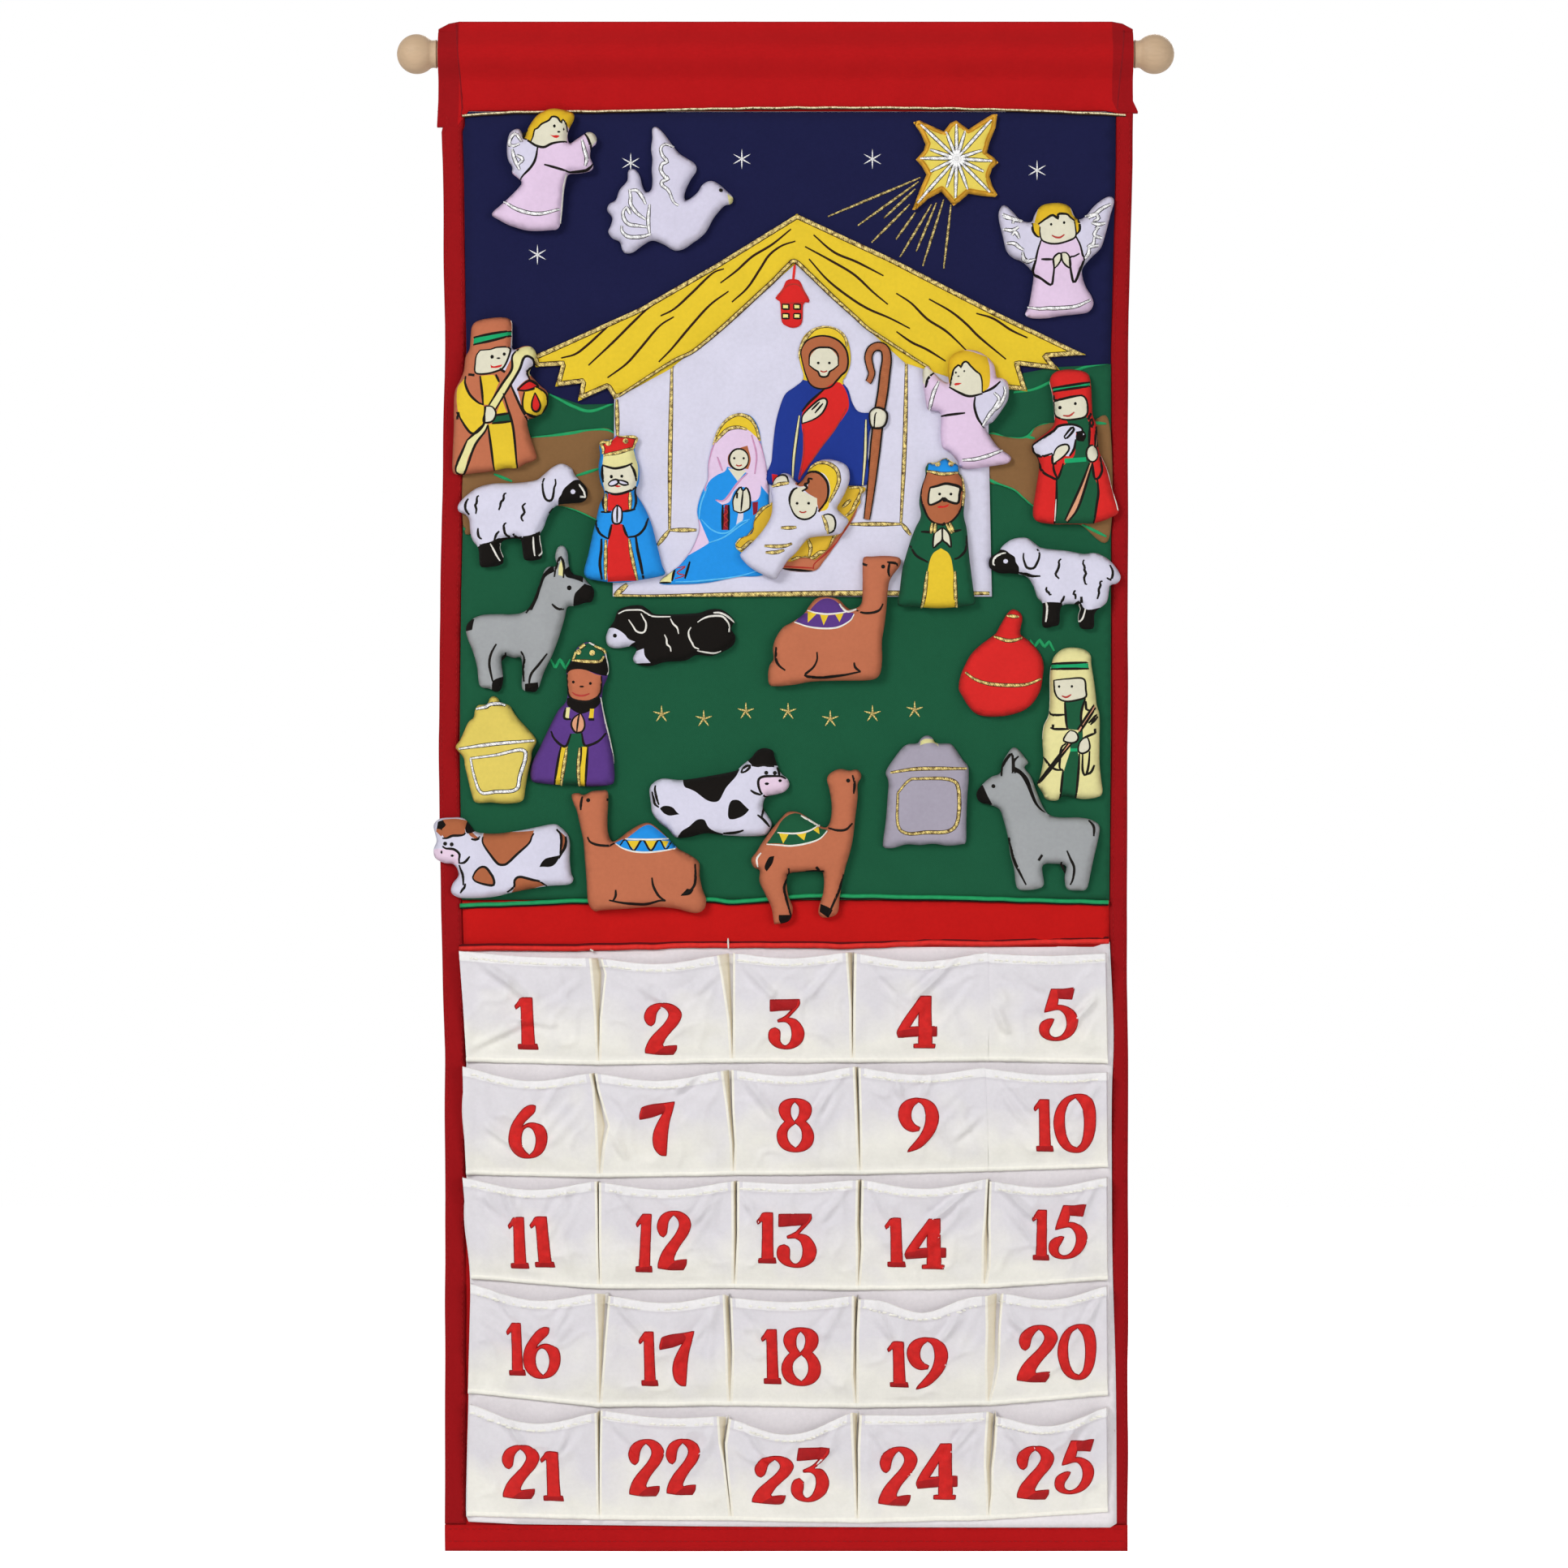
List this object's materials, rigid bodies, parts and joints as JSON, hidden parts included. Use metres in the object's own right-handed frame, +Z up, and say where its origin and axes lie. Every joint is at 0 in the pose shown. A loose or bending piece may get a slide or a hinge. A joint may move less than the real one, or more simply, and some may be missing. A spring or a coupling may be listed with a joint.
{
  "type": "advent calendar",
  "caption": "Cloth advent calendar banner on a ball-ended wooden rod, with a stable scene of stuffed pull-off ornaments above rows of numbered pockets.",
  "frame": {"origin": "middle of the wooden rod on its axis, where the banner hangs", "axes": "+Z up, +X along the rod to the viewer's right, +Y into the wall behind; the pictured front faces -Y"},
  "size_m": [0.4624, 0.0273, 0.906],
  "materials": {
    "wood": "turned pale hardwood, waxed",
    "red_cloth": "matt woven cotton",
    "navy_cloth": "matt woven cotton",
    "green_cloth": "matt woven cotton",
    "hill_cloth": "matt woven cotton",
    "white_cloth": "matt woven cotton",
    "ivory_cloth": "matt woven cotton",
    "yellow_cloth": "matt woven cotton",
    "brown_cloth": "matt woven cotton",
    "blue_cloth": "matt woven cotton",
    "grey_cloth": "matt woven cotton",
    "black_cloth": "matt woven cotton",
    "pink_cloth": "matt woven cotton",
    "purple_cloth": "matt woven cotton",
    "gold_cord": "metallic gold braid",
    "green_satin": "satin stitched thread",
    "red_satin": "satin stitched thread"
  },
  "bodies": {
    "rod": {"rod": "wood"},
    "finial_left": {"finial_left": "wood"},
    "finial_right": {"finial_right": "wood"},
    "banner_upper": {"rod_sleeve": "red_cloth", "backing_upper": "red_cloth", "border_left_upper": "red_cloth", "border_right_upper": "red_cloth", "middle_band": "red_cloth", "sky_panel": "navy_cloth", "ground_panel": "green_cloth", "hill_left": "hill_cloth", "hill_right": "hill_cloth", "stable_roof": "yellow_cloth", "stable_wall": "white_cloth", "hanging_lantern": "red_cloth", "robed_man": "blue_cloth", "kneeling_woman": "blue_cloth", "manger_crib": "brown_cloth", "manger_straw": "yellow_cloth", "gold_cord": "gold_cord", "green_trim": "green_satin"},
    "banner_lower": {"backing_lower": "red_cloth", "border_left_lower": "red_cloth", "border_right_lower": "red_cloth", "bottom_hem": "red_cloth", "pocket_panel": "ivory_cloth", "red_trim": "red_satin", "pocket_row_1": "ivory_cloth", "pocket_row_2": "ivory_cloth", "pocket_row_3": "ivory_cloth", "pocket_row_4": "ivory_cloth", "pocket_row_5": "ivory_cloth"},
    "angel_left": {"angel_left": "pink_cloth"},
    "dove": {"dove": "white_cloth"},
    "star": {"star": "yellow_cloth"},
    "angel_right": {"angel_right": "white_cloth"},
    "shepherd_lantern": {"shepherd_lantern": "brown_cloth"},
    "angel_stable": {"angel_stable": "pink_cloth"},
    "shepherd_lamb": {"shepherd_lamb": "red_cloth"},
    "king_red": {"king_red": "blue_cloth"},
    "king_green": {"king_green": "green_cloth"},
    "sheep_left": {"sheep_left": "white_cloth"},
    "sheep_right": {"sheep_right": "white_cloth"},
    "donkey_left": {"donkey_left": "grey_cloth"},
    "dog": {"dog": "black_cloth"},
    "camel_purple": {"camel_purple": "brown_cloth"},
    "gift_red": {"gift_red": "red_cloth"},
    "shepherd_boy": {"shepherd_boy": "ivory_cloth"},
    "gift_yellow": {"gift_yellow": "yellow_cloth"},
    "king_purple": {"king_purple": "purple_cloth"},
    "gift_grey": {"gift_grey": "grey_cloth"},
    "donkey_right": {"donkey_right": "grey_cloth"},
    "cow_centre": {"cow_centre": "white_cloth"},
    "cow_left": {"cow_left": "white_cloth"},
    "camel_blue": {"camel_blue": "brown_cloth"},
    "camel_green": {"camel_green": "brown_cloth"},
    "child": {"child": "ivory_cloth"}
  },
  "joints": [
    {"name": "finial_left_pull", "type": "slide", "parent": "rod", "child": "finial_left", "axis": [-1, 0, 0], "range_m": [0, 0.02]},
    {"name": "finial_right_pull", "type": "slide", "parent": "rod", "child": "finial_right", "axis": [1, 0, 0], "range_m": [0, 0.02]},
    {"name": "banner_swing", "type": "hinge", "parent": "rod", "child": "banner_upper", "pos_m": [0, 0, 0], "axis": [-1, 0, 0], "range_deg": [0, 90]},
    {"name": "lower_fold", "type": "hinge", "parent": "banner_upper", "child": "banner_lower", "pos_m": [0, -0.0008, -0.52673], "axis": [-1, 0, 0], "range_deg": [0, 60]},
    {"name": "angel_left_pull", "type": "slide", "parent": "banner_upper", "child": "angel_left", "axis": [0, -1, 0], "range_m": [0, 0.06]},
    {"name": "dove_pull", "type": "slide", "parent": "banner_upper", "child": "dove", "axis": [0, -1, 0], "range_m": [0, 0.06]},
    {"name": "star_pull", "type": "slide", "parent": "banner_upper", "child": "star", "axis": [0, -1, 0], "range_m": [0, 0.06]},
    {"name": "angel_right_pull", "type": "slide", "parent": "banner_upper", "child": "angel_right", "axis": [0, -1, 0], "range_m": [0, 0.06]},
    {"name": "shepherd_lantern_pull", "type": "slide", "parent": "banner_upper", "child": "shepherd_lantern", "axis": [0, -1, 0], "range_m": [0, 0.06]},
    {"name": "angel_stable_pull", "type": "slide", "parent": "banner_upper", "child": "angel_stable", "axis": [0, -1, 0], "range_m": [0, 0.06]},
    {"name": "shepherd_lamb_pull", "type": "slide", "parent": "banner_upper", "child": "shepherd_lamb", "axis": [0, -1, 0], "range_m": [0, 0.06]},
    {"name": "king_red_pull", "type": "slide", "parent": "banner_upper", "child": "king_red", "axis": [0, -1, 0], "range_m": [0, 0.06]},
    {"name": "king_green_pull", "type": "slide", "parent": "banner_upper", "child": "king_green", "axis": [0, -1, 0], "range_m": [0, 0.06]},
    {"name": "sheep_left_pull", "type": "slide", "parent": "banner_upper", "child": "sheep_left", "axis": [0, -1, 0], "range_m": [0, 0.06]},
    {"name": "sheep_right_pull", "type": "slide", "parent": "banner_upper", "child": "sheep_right", "axis": [0, -1, 0], "range_m": [0, 0.06]},
    {"name": "donkey_left_pull", "type": "slide", "parent": "banner_upper", "child": "donkey_left", "axis": [0, -1, 0], "range_m": [0, 0.06]},
    {"name": "dog_pull", "type": "slide", "parent": "banner_upper", "child": "dog", "axis": [0, -1, 0], "range_m": [0, 0.06]},
    {"name": "camel_purple_pull", "type": "slide", "parent": "banner_upper", "child": "camel_purple", "axis": [0, -1, 0], "range_m": [0, 0.06]},
    {"name": "gift_red_pull", "type": "slide", "parent": "banner_upper", "child": "gift_red", "axis": [0, -1, 0], "range_m": [0, 0.06]},
    {"name": "shepherd_boy_pull", "type": "slide", "parent": "banner_upper", "child": "shepherd_boy", "axis": [0, -1, 0], "range_m": [0, 0.06]},
    {"name": "gift_yellow_pull", "type": "slide", "parent": "banner_upper", "child": "gift_yellow", "axis": [0, -1, 0], "range_m": [0, 0.06]},
    {"name": "king_purple_pull", "type": "slide", "parent": "banner_upper", "child": "king_purple", "axis": [0, -1, 0], "range_m": [0, 0.06]},
    {"name": "gift_grey_pull", "type": "slide", "parent": "banner_upper", "child": "gift_grey", "axis": [0, -1, 0], "range_m": [0, 0.06]},
    {"name": "donkey_right_pull", "type": "slide", "parent": "banner_upper", "child": "donkey_right", "axis": [0, -1, 0], "range_m": [0, 0.06]},
    {"name": "cow_centre_pull", "type": "slide", "parent": "banner_upper", "child": "cow_centre", "axis": [0, -1, 0], "range_m": [0, 0.06]},
    {"name": "cow_left_pull", "type": "slide", "parent": "banner_upper", "child": "cow_left", "axis": [0, -1, 0], "range_m": [0, 0.06]},
    {"name": "camel_blue_pull", "type": "slide", "parent": "banner_upper", "child": "camel_blue", "axis": [0, -1, 0], "range_m": [0, 0.06]},
    {"name": "camel_green_pull", "type": "slide", "parent": "banner_upper", "child": "camel_green", "axis": [0, -1, 0], "range_m": [0, 0.06]},
    {"name": "child_pull", "type": "slide", "parent": "banner_upper", "child": "child", "axis": [0, -1, 0], "range_m": [0, 0.06]}
  ]
}
